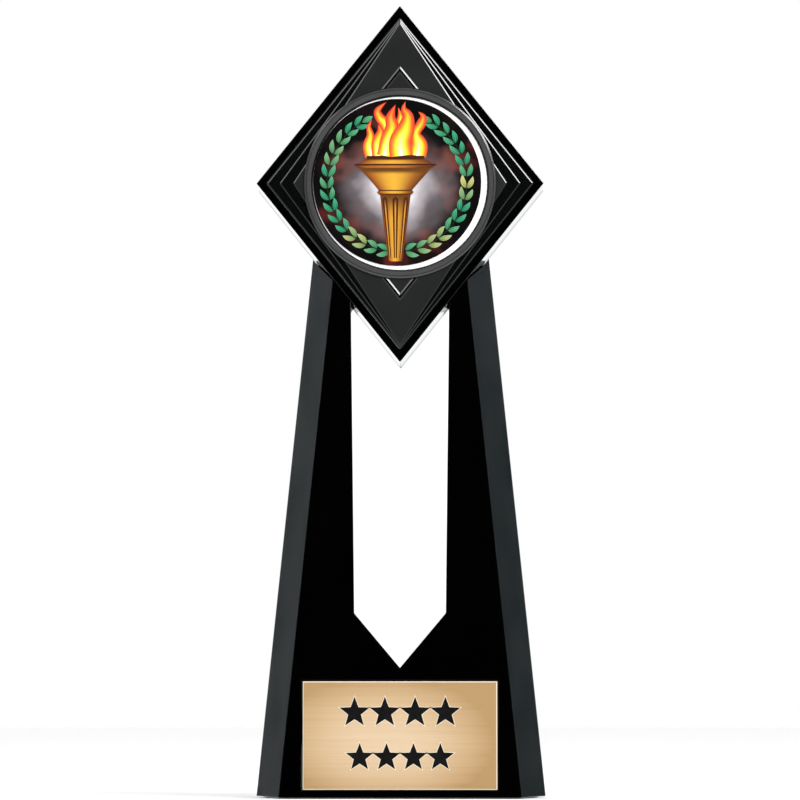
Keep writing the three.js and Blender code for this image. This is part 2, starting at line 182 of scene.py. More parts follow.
def loft(name, loops, material=None, ring=False):
    """A closed solid through loops of equal length. It is capped at both ends, or as a ring its
    last loop meets its first."""
    count = len(loops[0])
    rows = len(loops)
    vertices = [point for loop in loops for point in loop]
    faces = []
    for row in range(rows if ring else rows - 1):
        for i in range(count):
            j = (i + 1) % count
            a, b = row * count, (row + 1) % rows * count
            faces.append((a + i, a + j, b + j, b + i))
    if not ring:
        faces.append(tuple(range(count)))
        faces.append(tuple(range((rows - 1) * count, rows * count)))
    return mesh_from(name, vertices, faces, material)


def turned(name, profile, x, z, segments, material=None):
    """A solid of revolution about the depth axis; profile is [(radius, depth), ...] and
    starts and ends on the axis."""
    vertices = [place(x, profile[0][1], z), place(x, profile[-1][1], z)]
    rings = profile[1:-1]
    for radius, depth in rings:
        for i in range(segments):
            angle = 2 * math.pi * i / segments
            across, up = radius * math.cos(angle), radius * math.sin(angle)
            vertices.append(place(x + across, depth, z + up))
    faces = []
    last = 2 + (len(rings) - 1) * segments
    for i in range(segments):
        j = (i + 1) % segments
        faces.append((0, 2 + i, 2 + j))
        faces.append((1, last + j, last + i))
        for row in range(len(rings) - 1):
            a = 2 + row * segments
            b = a + segments
            faces.append((a + i, b + i, b + j, a + j))
    return mesh_from(name, vertices, faces, material)


def refined(node, name, radius, wanted, adjust=None):
    """A copy of a CAD node with its wanted edges rounded, after an adjustment of its vertices."""
    bm = bmesh.new()
    bm.from_mesh(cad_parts[node].data)
    bmesh.ops.remove_doubles(bm, verts=bm.verts, dist=1e-6)
    flat = math.radians(0.5)
    crease = math.radians(12)
    bmesh.ops.dissolve_limit(bm, angle_limit=flat, verts=bm.verts, edges=bm.edges)
    if adjust is not None:
        for vertex in bm.verts:
            adjust(vertex)
    bm.normal_update()
    edges = [
        edge
        for edge in bm.edges
        if len(edge.link_faces) == 2
        and edge.calc_face_angle() > crease
        and wanted(edge)
    ]
    bmesh.ops.bevel(
        bm,
        geom=edges,
        offset=radius * MM,
        offset_type="OFFSET",
        segments=3,
        profile=0.5,
        affect="EDGES",
        clamp_overlap=False,
    )
    return new_object(name, bm)


def stands_for(piece, node):
    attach(piece, "root")
    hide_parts(node)


def paint_node(node, material):
    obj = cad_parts[node]
    obj.data.materials.clear()
    obj.data.materials.append(material)


# ---- material helpers ----
class Nodes:
    """A node tree, with short calls for the nodes in it."""

    def __init__(self, tree, coordinates):
        self.tree = tree
        self.coordinates = self.node("ShaderNodeTexCoord").outputs[coordinates]

    def node(self, kind, **settings):
        made = self.tree.nodes.new(kind)
        for key, value in settings.items():
            setattr(made, key, value)
        return made

    def feed(self, target, value):
        """Links a socket, or sets a colour or a number."""
        if isinstance(value, bpy.types.NodeSocket):
            self.tree.links.new(value, target)
        elif isinstance(value, tuple):
            target.default_value = (*value, 1)
        else:
            target.default_value = value

    def axes(self):
        """The three coordinates, each as a socket."""
        made = self.node("ShaderNodeSeparateXYZ")
        self.feed(made.inputs[0], self.coordinates)
        return made.outputs

    def math(self, operation, *values):
        made = self.node("ShaderNodeMath", operation=operation)
        for socket, value in zip(made.inputs, values):
            self.feed(socket, value)
        return made.outputs[0]

    def spread(self, value, low, high, to_low=0.0, to_high=1.0, form="SMOOTHSTEP"):
        made = self.node("ShaderNodeMapRange", interpolation_type=form)
        for socket, setting in zip(made.inputs, (value, low, high, to_low, to_high)):
            self.feed(socket, setting)
        return made.outputs["Result"]

    def ramp(self, value, stops):
        made = self.node("ShaderNodeValToRGB")
        self.feed(made.inputs["Fac"], value)
        elements = made.color_ramp.elements
        while len(elements) < len(stops):
            elements.new(0.5)
        for element, (position, color) in zip(elements, stops):
            element.position = position
            element.color = (*color, 1)
        return made.outputs["Color"]

    def blend(self, factor, first, second):
        made = self.node("ShaderNodeMix", data_type="RGBA")
        self.feed(made.inputs["Factor"], factor)
        self.feed(made.inputs[6], first)
        self.feed(made.inputs[7], second)
        return made.outputs[2]


class Paint(Nodes):
    """A Principled material."""

    def __init__(self, name, roughness=0.3, metallic=0.0, **sockets):
        self.material = bpy.data.materials.new(name)
        self.material.use_nodes = True
        super().__init__(self.material.node_tree, "Object")
        self.inputs = self.tree.nodes["Principled BSDF"].inputs
        self.inputs["Metallic"].default_value = metallic
        self.roughness(roughness)
        for socket, value in sockets.items():
            self.inputs[socket].default_value = value

    def stretched(self, x, y, z):
        mapping = self.node("ShaderNodeMapping")
        self.feed(mapping.inputs["Vector"], self.coordinates)
        mapping.inputs["Scale"].default_value = (x, y, z)
        return mapping.outputs["Vector"]

    def noise(self, scale, detail=3.0, roughness=0.5, vector=None):
        made = self.node("ShaderNodeTexNoise")
        self.feed(made.inputs["Vector"], vector or self.coordinates)
        made.inputs["Scale"].default_value = scale
        made.inputs["Detail"].default_value = detail
        made.inputs["Roughness"].default_value = roughness
        return made.outputs["Fac"]

    def attribute(self, name):
        return self.node("ShaderNodeAttribute", attribute_name=name).outputs["Fac"]

    def color(self, value):
        self.feed(self.inputs["Base Color"], value)

    def roughness(self, value):
        self.feed(self.inputs["Roughness"], value)

    def uneven(self, noise, low, high):
        """Roughness that follows a noise."""
        self.roughness(self.spread(noise, 0.3, 0.7, low, high))

    def bump(self, height, distance):
        made = self.node("ShaderNodeBump")
        self.feed(made.inputs["Height"], height)
        made.inputs["Distance"].default_value = distance * MM
        self.feed(self.inputs["Normal"], made.outputs["Normal"])


def srgb(red, green, blue):
    """An 8-bit display colour as linear values."""

    def linear(value):
        value /= 255
        return value / 12.92 if value <= 0.04045 else ((value + 0.055) / 1.055) ** 2.4

    return linear(red), linear(green), linear(blue)


def times(factor, color):
    return tuple(factor * value for value in color)


# ---- materials ----
def polished_black():
    """High-gloss black moulding: nearly black, with faint polishing haze and wear."""
    paint = Paint("polished_black")
    paint.color((0.0003, 0.0003, 0.0003))
    haze = paint.spread(paint.noise(38, 4), 0.35, 0.75, 0.05, 0.11)
    strokes = paint.noise(900, 2, vector=paint.stretched(1, 1, 0.05))
    hairs = paint.spread(strokes, 0.6, 0.8, 0, 0.03)
    paint.roughness(paint.math("ADD", haze, hairs))
    paint.bump(paint.noise(220, 2), 0.0015)
    return paint.material


def satin_black(name, color, low, high, upper=None, **sockets):
    """The finely spark-eroded faces: a soft, even sheen. With an upper colour, painted light makes
    them paler towards the top."""
    paint = Paint(name, **sockets)
    cloud = paint.noise(60, 3)
    paint.uneven(cloud, low, high)
    tone = paint.blend(cloud, times(0.88, color), times(1.12, color))
    if upper is not None:
        # painted light: the colour pales towards the upper colour higher up
        height = paint.spread(paint.axes()[2], 0.09, 0.165)
        tone = paint.blend(height, tone, upper)
    paint.color(tone)
    paint.bump(paint.noise(4200, 2, 0.6), 0.006)
    return paint.material


def textured_back():
    """The matte back covers, with a coarser moulded grain."""
    paint = Paint("textured_back")
    grain = paint.noise(2600, 4, 0.65)
    paint.uneven(paint.noise(90, 3), 0.46, 0.62)
    paint.color(paint.blend(grain, (0.008, 0.008, 0.009), (0.017, 0.017, 0.018)))
    paint.bump(grain, 0.03)
    return paint.material


def brushed_brass():
    """Gold-toned plate with a fine brushing along its length and a painted soft fall of light."""
    paint = Paint("brushed_brass", metallic=0.25)
    x, _, z = paint.axes()
    fine = paint.noise(1500, 2, 0.5, paint.stretched(0.012, 1, 1))
    broad = paint.noise(34, 2, 0.5, paint.stretched(0.6, 1, 1))

    def squared(value, middle, reach):
        share = paint.math("MULTIPLY_ADD", value, 1 / (reach * MM), -middle / reach)
        return paint.math("MULTIPLY", share, share)

    # painted light: brightest a little left of and below the plate's middle, darker towards its
    # edges
    painted_light_falloff = paint.math("ADD", squared(x, -5, 34), squared(z, PLATE_CENTRE - 1, 20))
    tone = paint.math("SUBTRACT", 0.9, painted_light_falloff)
    tone = paint.math("ADD", tone, paint.math("MULTIPLY_ADD", fine, 0.3, -0.15))
    tone = paint.math("ADD", tone, paint.math("MULTIPLY_ADD", broad, 0.5, -0.25))
    golds = [
        (0.0, srgb(188, 152, 104)),
        (0.5, srgb(214, 182, 140)),
        (0.95, srgb(234, 208, 174)),
    ]
    paint.color(paint.ramp(tone, golds))
    paint.uneven(fine, 0.38, 0.46)
    return paint.material


def clouded(name, dark, pale, cloud, rough, metallic=0.0, grain=None, relief=0.0):
    """A material whose colour follows a cloud of noise, as does its roughness where that is a
    pair. Its relief, in millimetres, follows a finer grain or the same cloud."""
    paint = Paint(name, metallic=metallic)
    noise = paint.noise(*cloud)
    paint.color(paint.blend(noise, dark, pale))
    if isinstance(rough, tuple):
        paint.uneven(noise, *rough)
    else:
        paint.roughness(rough)
    if relief:
        paint.bump(paint.noise(*grain) if grain else noise, relief)
    return paint.material


POLISHED = polished_black()
# the tower's sides carry painted light, paler towards the top
SIDE_SATIN = satin_black("side_satin", (0.003, 0.0052, 0.0058), 0.2, 0.26, (0.013, 0.015, 0.016))
PANEL_SATIN = satin_black("panel_satin", srgb(24, 26, 25), 0.4, 0.5)
TERRACE_SATIN = satin_black("terrace_satin", srgb(6, 7, 7), 0.1, 0.14)
SLOPE_SATIN = satin_black("slope_satin", srgb(14, 15, 15), 0.12, 0.18, IOR=1.85)
BACK = textured_back()
RING_TONES = (srgb(57, 57, 58), srgb(64, 64, 65))
RING = clouded("ring_plastic", *RING_TONES, (120, 3), (0.36, 0.48), 0, (3800, 2, 0.6), 0.005)
# painted shade on the ring's recess wall, the lip round it and the groove before its outer bevel
RING_SHADE = satin_black("ring_painted_shade", srgb(12, 12, 13), 0.4, 0.5)
RING_BEVEL = satin_black("ring_bevel", srgb(60, 60, 61), 0.2, 0.26, IOR=1.75)
WHITE = clouded("white_plastic", (0.94, 0.94, 0.935), (0.97, 0.97, 0.965), (150, 2), (0.3, 0.4))
BRASS = brushed_brass()
# the plate's chamfered edge, in a painted highlight, and the pale line round its engraving
EDGE = clouded("bright_edge", srgb(246, 232, 206), srgb(254, 244, 224), (300, 2), 0.4, 0.2)
STEEL_TONES = ((0.42, 0.42, 0.44), (0.6, 0.6, 0.61))
STEEL = clouded("plated_steel", *STEEL_TONES, (700, 3), (0.22, 0.42), 1, (5200, 2), 0.003)
IRON_TONES = ((0.04, 0.04, 0.043), (0.1, 0.098, 0.095))
IRON = clouded("cast_iron", *IRON_TONES, (900, 5, 0.6), (0.5, 0.8), 0.85, relief=0.08)
FELT_TONES = ((0.006, 0.006, 0.007), (0.03, 0.03, 0.032))
FELT = clouded("felt", *FELT_TONES, (2200, 6, 0.75), 0.95, relief=0.12)
TAPE = clouded("foam_tape", (0.6, 0.6, 0.56), (0.76, 0.76, 0.72), (1800, 3), 0.9, relief=0.05)
# the fill of the engraved stars
ENAMEL_TONE = (0.004, 0.004, 0.004)
ENAMEL = clouded("black_enamel", ENAMEL_TONE, ENAMEL_TONE, (900, 3), (0.28, 0.45))


# ---- tower ----
def tower_half(z, depth):
    return TOWER_FOOT_HALF - TOWER_TAPER * z + SIDE_DRAFT * depth


def window_half(z, depth):
    """Half width of the window at a height and depth, or less than zero below it."""
    closed = WINDOW_DRAFT * depth
    tip = WINDOW_TIP + closed * FOOT_LENGTH
    foot = (z - tip) / WINDOW_SLOPE
    shoulder = WINDOW_TIP + WINDOW_HALF_FOOT * WINDOW_SLOPE
    return min(foot, WINDOW_HALF_FOOT + WINDOW_FLARE * (z - shoulder) - closed)


def seat_height(x, depth, gap):
    """Height of the notch's sloping seat, which flares with the head's edge."""
    scale = 1 + HEAD_FLARE * depth
    tip = HEAD_CENTRE - (HEAD_HALF_HEIGHT + gap * EDGE_LENGTH) * scale
    return tip + abs(x) * EDGE_SLOPE


def shoulder_height(x):
    """Height of the arms' tops behind the head."""
    return HEAD_CENTRE - HEAD_HALF_HEIGHT + ARM_RISE * EDGE_LENGTH + abs(x) * EDGE_SLOPE


def on_tower_skin(face):
    """True for a face of the tower that shows: front, sides, back rim, window or notch."""
    pocket_width = PLATE_HALF_WIDTH + GAP
    pocket_height = PLATE_HALF_HEIGHT + GAP
    # how far a point is from each surface that shows
    misses = [
        lambda x, d, z: d,
        lambda x, d, z: d - TOWER_DEPTH,
        lambda x, d, z: abs(x) - tower_half(z, d),
        lambda x, d, z: z - TOWER_LOW.z / MM,
        lambda x, d, z: abs(x) - window_half(z, d),
        lambda x, d, z: z - seat_height(x, d, SEAT_GAP),
        lambda x, d, z: z - shoulder_height(x),
        lambda x, d, z: d - HEAD_DEPTH - GAP,
        lambda x, d, z: abs(x) - pocket_width if d < 1 else 1,
        lambda x, d, z: abs(z - PLATE_CENTRE) - pocket_height if d < 1 else 1,
    ]
    points = [drawn(vertex) for vertex in face.verts]
    return any(all(abs(miss(*point)) < NEAR for point in points) for miss in misses)


def make_tower():
    skin = {}
    shortest = 1.5 * MM

    def on_seat(vertex, gap):
        x, depth, z = drawn(vertex)
        return abs(z - seat_height(x, depth, gap)) < NEAR

    def wanted(edge):
        for face in edge.link_faces:
            if face.index not in skin:
                skin[face.index] = on_tower_skin(face)
        if all(on_seat(vertex, SEAT_GAP) for vertex in edge.verts):
            return False
        return edge.calc_length() > shortest and all(skin[f.index] for f in edge.link_faces)

    def lift_seat(vertex):
        x, depth, _ = drawn(vertex)
        if depth < HEAD_DEPTH + 2 * GAP and on_seat(vertex, GAP):
            vertex.co.z = seat_height(x, depth, SEAT_GAP) * MM

    tower = refined("tower_shell", "tower_body", 0.2, wanted, lift_seat)
    tower.data.materials.append(POLISHED)
    tower.data.materials.append(SIDE_SATIN)
    for face in tower.data.polygons:
        x, depth, z = face.center.x / MM, depth_of(face.center.y), face.center.z / MM
        if abs(face.normal.x) > 0.9 and abs(abs(x) - tower_half(z, depth)) < NEAR:
            face.material_index = 1
    stands_for(polish(tower), "tower_shell")


def make_covers():
    shortest = 4 * MM
    for node in ("tower_back_cover", "head_back_cover"):
        name = node.replace("_cover", "_panel")
        cover = refined(node, name, 0.3, lambda edge: edge.calc_length() > shortest)
        cover.data.materials.append(BACK)
        stands_for(polish(cover), node)


def make_pad():
    pad = refined("base_pad", "felt_pad", 0.25, lambda edge: True)
    pad.data.materials.append(FELT)
    stands_for(polish(pad), "base_pad")


# ---- head ----
def rhombus_loop(half_width, half_height, depth, radius):
    """A rhombus about the head's centre with rounded corners, as a loop of points."""
    steps = 5
    corners = [(0, half_height), (-half_width, 0), (0, -half_height), (half_width, 0)]
    loop = []
    for i, corner in enumerate(corners):
        here = Vector(corner)
        before = (Vector(corners[i - 1]) - here).normalized()
        after = (Vector(corners[(i + 1) % 4]) - here).normalized()
        half_angle = before.angle(after) / 2
        inwards = (before + after).normalized()
        centre = here + inwards * (radius / math.sin(half_angle))
        start = here + before * (radius / math.tan(half_angle)) - centre
        end = here + after * (radius / math.tan(half_angle)) - centre
        sweep = start.angle_signed(end)
        for step in range(steps + 1):
            turn = -sweep * step / steps
            spoke = Vector(
                (
                    start.x * math.cos(turn) - start.y * math.sin(turn),
                    start.x * math.sin(turn) + start.y * math.cos(turn),
                )
            )
            point = centre + spoke
            loop.append(place(point.x, depth, HEAD_CENTRE + point.y))
    return loop


def head_loop(inset, depth, radius):
    """The head's own outline at a depth, moved inwards by an inset."""
    span = math.hypot(HEAD_HALF_WIDTH, HEAD_HALF_HEIGHT)
    scale = 1 + HEAD_FLARE * depth - inset * span / (HEAD_HALF_WIDTH * HEAD_HALF_HEIGHT)
    return rhombus_loop(HEAD_HALF_WIDTH * scale, HEAD_HALF_HEIGHT * scale, depth, radius)


GROOVE_DEPTH = 0.35
STEP_RISE = 0.15
WALL_BEND = 3.4  # from the back, where the side walls start to flare
WALL_DIP = 0.24  # how far in they are there
# each terrace: half width and half height of its foot and of its crest, depth of its top
TERRACES = [
    ((39.5, 49.45), (39.12, 48.97), -0.02),
    ((35.75, 48.9), (35.38, 48.39), -0.17),
    ((31.75, 48.35), (31.39, 47.8), -0.32),
]
PANEL_DEPTH = TERRACES[-1][2]
RIDGE_CREST = -0.54
RIDGE_ROOT = PANEL_DEPTH + 0.15  # sunk into the panel, to join it
RIDGE = [
    # half height and depth round the ridge's section, from its outer foot to its inner one
    (35.1, RIDGE_ROOT),
    (35.1, PANEL_DEPTH),
    (34.4, RIDGE_CREST),
    (33.55, RIDGE_CREST),
    (32.85, PANEL_DEPTH),
    (32.85, RIDGE_ROOT),
]
RING_RADIUS = (HOLDER_HIGH.x - HOLDER_LOW.x) / 2 / MM
SPIGOT_RADIUS = 27
RECESS_RADIUS = 26.05


def cylinder_cutter(radius, front, back):
    profile = [(0, front), (radius, front), (radius, back), (0, back)]
    return turned("cutter", profile, 0, HEAD_CENTRE, 192)


def make_head():
    corner = 0.35
    loops = [
        head_loop(HEAD_WALL, FACE_BACK, 0.4),
        head_loop(HEAD_WALL, HEAD_DEPTH - 0.12, 0.4),
        head_loop(HEAD_WALL - 0.12, HEAD_DEPTH, 0.45),
        head_loop(0.2, HEAD_DEPTH, corner),
        head_loop(0.06, HEAD_DEPTH - 0.06, corner),
        head_loop(0, HEAD_DEPTH - 0.2, corner),
        head_loop(WALL_DIP, HEAD_DEPTH - WALL_BEND, corner),
        head_loop(0, 0.14, corner),
        head_loop(0.04, 0.04, corner),
        head_loop(0.14, 0, corner),
        head_loop(BORDER - 0.12, 0, 0.3),
        head_loop(BORDER, 0.1, 0.25),
        head_loop(BORDER, GROOVE_DEPTH, 0.25),
    ]
    for foot, crest, depth in TERRACES:
        loops.append(rhombus_loop(*foot, depth + STEP_RISE, 0.2))
        loops.append(rhombus_loop(*crest, depth, 0.18))
    head = loft("head_body", loops)
    ridge_loops = [rhombus_loop(h / EDGE_SLOPE, h, depth, 0.15) for h, depth in RIDGE]
    ridge = loft("ridge", ridge_loops, ring=True)
    boolean(ridge, cylinder_cutter(RING_RADIUS + GAP, -2, 2), "DIFFERENCE")
    boolean(head, ridge, "UNION")
    boolean(head, cylinder_cutter(SPIGOT_RADIUS + GAP, -2, FACE_BACK + 1), "DIFFERENCE")
    for material in (POLISHED, PANEL_SATIN, TERRACE_SATIN, SLOPE_SATIN):
        head.data.materials.append(material)
    for face in head.data.polygons:
        facing = face.normal.y < -0.99
        depth = depth_of(face.center.y)
        if facing and abs(depth - PANEL_DEPTH) < 0.02:
            face.material_index = 1
        elif facing and (depth < -0.01 or 0.3 < depth < 1) and depth > RIDGE_CREST + 0.02:
            face.material_index = 2
        elif depth < 0.3 and -0.97 < face.normal.y < -0.3:
            face.material_index = 3
    stands_for(polish(head, 12), "head_shell")


# ---- insert ----
def make_holder():
    front = depth_of(HOLDER_LOW.y)
    back = depth_of(HOLDER_HIGH.y)
    floor = 1.4  # depth of the recess's floor
    flange_back = PANEL_DEPTH - GAP
    lip = RECESS_RADIUS + 0.42
    band = RING_RADIUS - 0.8  # where the groove before the outer bevel starts
    profile = [
        (0, floor),
        (RECESS_RADIUS, floor),
        (RECESS_RADIUS, front + 0.48),
        (RECESS_RADIUS + 0.04, front + 0.4),
        (lip - 0.06, front + 0.05),
        (lip + 0.04, front),
        (band, front),
        (band + 0.08, front + 0.12),
        (band + 0.2, front + 0.12),
        (band + 0.26, front + 0.05),
        (RING_RADIUS - 0.04, front + 0.3),
        (RING_RADIUS, front + 0.36),
        (RING_RADIUS, flange_back - 0.08),
        (RING_RADIUS - 0.08, flange_back),
        (SPIGOT_RADIUS, flange_back),
        (SPIGOT_RADIUS, back - 0.2),
        (SPIGOT_RADIUS - 0.2, back),
        (0, back),
    ]
    holder = turned("insert_ring", profile, 0, HEAD_CENTRE, ROUND_SEGMENTS, RING)
    holder.data.materials.append(RING_SHADE)
    holder.data.materials.append(RING_BEVEL)
    for face in holder.data.polygons:
        centre = face.center / MM
        radius = math.hypot(centre.x, centre.z - HEAD_CENTRE)
        # the recess wall, its lip and the groove take the painted shade
        if radius < lip - 0.02 or (band < radius < band + 0.24 and face.normal.y > -0.999):
            face.material_index = 1
        elif radius > band + 0.2 and depth_of(face.center.y) < front + 0.34:
            face.material_index = 2
    stands_for(polish(holder, 24), "insert_holder")


def make_disc():
    front = depth_of(DISC_LOW.y)
    back = depth_of(DISC_HIGH.y)
    radius = (DISC_HIGH.x - DISC_LOW.x) / 2 / MM
    profile = [
        (0, front),
        (radius - 0.15, front),
        (radius - 0.04, front + 0.04),
        (radius, front + 0.15),
        (radius, back),
        (0, back),
    ]
    disc = turned("white_disc", profile, 0, HEAD_CENTRE, ROUND_SEGMENTS, WHITE)
    stands_for(polish(disc, 40), "insert_disc")


# ---- printed torch and laurel ----
ART_X = (PRINT_LOW.x + PRINT_HIGH.x) / 2 / MM  # stuck on slightly off centre
ART_Z = (PRINT_LOW.z + PRINT_HIGH.z) / 2 / MM
ART_RADIUS = (PRINT_HIGH.x - PRINT_LOW.x) / 2 / MM
ART_DEPTH = -0.5  # of the film's front
LAYER = 0.02  # how far each printed layer stands in front of the one below
TIP_WIDTH = 0.02  # half width left at the tip of a leaf or flame


def ribbon(spine, widths, layer, columns):
    """A thin closed strip along a spine of (u, v) points with half widths; gives vertices,
    faces, and for each vertex its place across (-1 to 1) and along (0 to 1) the strip."""
    rows = len(spine)
    front = ART_DEPTH - LAYER * layer
    back = front + LAYER * 0.9
    vertices, across, along = [], [], []
    for depth in (front, back):
        for i, (u, v) in enumerate(spine):
            before = Vector(spine[max(i - 1, 0)])
            after = Vector(spine[min(i + 1, rows - 1)])
            tangent = (after - before).normalized()
            side = Vector((tangent.y, -tangent.x))
            for j in range(columns + 1):
                share = 2 * j / columns - 1
                point = Vector((u, v)) + side * (share * widths[i])
                vertices.append(place(ART_X + point.x, depth, ART_Z + point.y))
                across.append(share)
                along.append(i / (rows - 1))
    width = columns + 1
    offset = rows * width
    faces = []
    for i in range(rows - 1):
        for j in range(columns):
            a = i * width + j
            faces.append((a, a + 1, a + 1 + width, a + width))
            faces.append((offset + a, offset + a + width, offset + a + 1 + width, offset + a + 1))
    border = list(range(width)) + [i * width + columns for i in range(1, rows)]
    border += [offset - 1 - j for j in range(1, width)]
    border += [i * width for i in range(rows - 2, 0, -1)]
    for a, b in zip(border, border[1:] + border[:1]):
        faces.append((b, a, offset + a, offset + b))
    return vertices, faces, across, along


def art_piece(name, ribbons, material, **extra):
    """Joins ribbons into one printed piece; extra gives one value per ribbon."""
    vertices, faces, across, along = [], [], [], []
    values = {key: [] for key in extra}
    for index, (points, sides, cross, length) in enumerate(ribbons):
        start = len(vertices)
        vertices += points
        faces += [tuple(start + i for i in side) for side in sides]
        across += cross
        along += length
        for key in extra:
            values[key] += [extra[key][index]] * len(points)
    mesh = bpy.data.meshes.new(name)
    mesh.from_pydata(vertices, [], faces)
    for key, data in (("across", across), ("along", along), *values.items()):
        attribute = mesh.attributes.new(key, "FLOAT", "POINT")
        attribute.data.foreach_set("value", data)
    mesh.materials.append(material)
    obj = bpy.data.objects.new(name, mesh)
    bpy.context.scene.collection.objects.link(obj)
    stands_for(obj, "insert_print")


def smooth_path(points, steps):
    """Catmull-Rom interpolation through points of any dimension."""
    padded = [points[0]] + list(points) + [points[-1]]
    path = []
    for i in range(1, len(padded) - 2):
        p0, p1, p2, p3 = (Vector(p) for p in padded[i - 1 : i + 3])
        for step in range(steps):
            t = step / steps
            square = (2 * p0 - 5 * p1 + 4 * p2 - p3) * t * t
            cube = (3 * p1 - p0 - 3 * p2 + p3) * t * t * t
            path.append(0.5 * (2 * p1 + (p2 - p0) * t + square + cube))
    path.append(Vector(points[-1]))
    return path


def print_backdrop():
    """Smoky backdrop: a pale glow round the torch, dark edges and rusty clouds."""
    paint = Paint("print_backdrop")
    x, _, z = paint.axes()
    x = paint.math("SUBTRACT", x, ART_X * MM)
    z = paint.math("SUBTRACT", z, ART_Z * MM)

    def distance(centre_u, centre_v, wide, tall):
        du = paint.math("DIVIDE", paint.math("SUBTRACT", x, centre_u * MM), wide * MM)
        dv = paint.math("DIVIDE", paint.math("SUBTRACT", z, centre_v * MM), tall * MM)
        squares = paint.math("ADD", paint.math("MULTIPLY", du, du), paint.math("MULTIPLY", dv, dv))
        return paint.math("SQRT", squares)

    smoke = paint.noise(80, 3, 0.5)
    puff = paint.noise(115, 2, 0.45)
    drift = paint.math("MULTIPLY", paint.math("SUBTRACT", smoke, 0.5), 0.6)
    glow = paint.math("ADD", distance(0.4, -2.2, 19.5, 18.5), drift)
    greys = [
        (0.2, srgb(232, 228, 230)),
        (0.38, srgb(166, 160, 164)),
        (0.62, srgb(92, 84, 87)),
        (0.86, srgb(44, 36, 38)),
        (1.0, srgb(12, 8, 9)),
    ]
    grey = paint.ramp(glow, greys)
    outwards = paint.spread(distance(0, 0, 1, 1), 6, 17, 0.15, 0.8)
    rust = paint.math("MULTIPLY", paint.spread(puff, 0.46, 0.76), outwards)
    rust = paint.math("MULTIPLY", rust, 0.6)
    warm = paint.blend(rust, grey, srgb(146, 84, 72))
    edge = paint.spread(distance(0, 0, ART_RADIUS, ART_RADIUS), 0.64, 0.86)
    embers = [(0.42, srgb(4, 3, 4)), (0.56, srgb(24, 6, 8)), (0.7, srgb(84, 20, 20))]
    paint.color(paint.blend(edge, warm, paint.ramp(puff, embers)))
    return paint.material


def flame_material():
    """White-hot at the foot, yellow inside, orange to red at the edges and the tips."""
    paint = Paint("print_flame")
    across = paint.math("ABSOLUTE", paint.attribute("across"))
    along = paint.attribute("along")
    tip = paint.math("MULTIPLY", paint.math("POWER", along, 1.3), 0.85)
    heat = paint.math("ADD", paint.math("POWER", across, 1.6), tip)
    heat = paint.math("MULTIPLY", heat, 0.92)
    fire = [
        (0.0, srgb(255, 252, 220)),
        (0.1, srgb(255, 242, 130)),
        (0.26, srgb(254, 218, 36)),
        (0.42, srgb(252, 178, 24)),
        (0.58, srgb(244, 130, 30)),
        (0.76, srgb(228, 88, 32)),
        (1.0, srgb(204, 58, 28)),
    ]
    paint.color(paint.ramp(heat, fire))
    return paint.material


def torch_gold(name, low_tone, high_tone, shadow_from=1.0):
    """Gold that is shaded across like a turned bar and darkens along under a moulding."""
    paint = Paint(name)
    tones = [
        (0.0, srgb(104, 48, 8)),
        (0.1, srgb(158, 86, 18)),
        (0.3, high_tone),
        (0.46, tuple(min(1, value) for value in times(1.25, high_tone))),
        (0.62, high_tone),
        (0.82, low_tone),
        (1.0, srgb(92, 42, 8)),
    ]
    across = paint.math("MULTIPLY_ADD", paint.attribute("across"), 0.5, 0.5)
    shade = paint.ramp(across, tones)
    dark = paint.spread(paint.attribute("along"), shadow_from - 0.2, shadow_from)
    paint.color(paint.blend(dark, shade, times(0.42, low_tone)))
    return paint.material


def leaf_material():
    """Emerald leaves with a pale edge and midrib; some are yellowed."""
    paint = Paint("print_leaf")
    across = paint.math("ABSOLUTE", paint.attribute("across"))
    warmth = paint.attribute("warmth")
    along = paint.attribute("along")
    greens = [(0.0, srgb(6, 92, 62)), (0.5, srgb(16, 132, 92)), (1.0, srgb(52, 152, 112))]
    yellows = [(0.0, srgb(110, 122, 50)), (0.5, srgb(172, 166, 88)), (1.0, srgb(198, 180, 120))]
    body = paint.blend(warmth, paint.ramp(along, greens), paint.ramp(along, yellows))
    vein = paint.math("SUBTRACT", 1.0, paint.spread(across, 0.05, 0.16))
    body = paint.blend(paint.math("MULTIPLY", vein, 0.4), body, srgb(120, 190, 140))
    rim = paint.spread(across, 0.74, 0.92)
    pale = paint.blend(warmth, srgb(112, 186, 146), srgb(232, 216, 170))
    strength = paint.spread(along, 0.35, 0.9, 0.12, 0.85)
    paint.color(paint.blend(paint.math("MULTIPLY", rim, strength), body, pale))
    return paint.material


def flat_print(name, color):
    return clouded(name, times(0.85, color), color, (900, 2), 0.3)


def make_print():
    back = depth_of(DISC_LOW.y) - 0.02
    profile = [
        (0, ART_DEPTH),
        (ART_RADIUS - 0.05, ART_DEPTH),
        (ART_RADIUS, ART_DEPTH + 0.05),
        (ART_RADIUS, back),
        (0, back),
    ]
    film = print_backdrop()
    backdrop = turned("print_backdrop", profile, ART_X, ART_Z, ROUND_SEGMENTS, film)
    stands_for(polish(backdrop, 40), "insert_print")
    make_laurel()
    make_torch()
    make_flames()


def leaf_ribbon(u, v, angle, length, width, layer, bend):
    """A pointed leaf from its foot at (u, v), along an angle, slightly bent."""
    rows = 11
    spine, widths = [], []
    for i in range(rows):
        t = i / (rows - 1)
        turn = angle + bend * (t - 0.5)
        spine.append((u + length * t * math.cos(turn), v + length * t * math.sin(turn)))
        widths.append(width * max(math.sin(math.pi * t**0.82) ** 0.85, TIP_WIDTH))
    return ribbon(spine, widths, layer, 8)


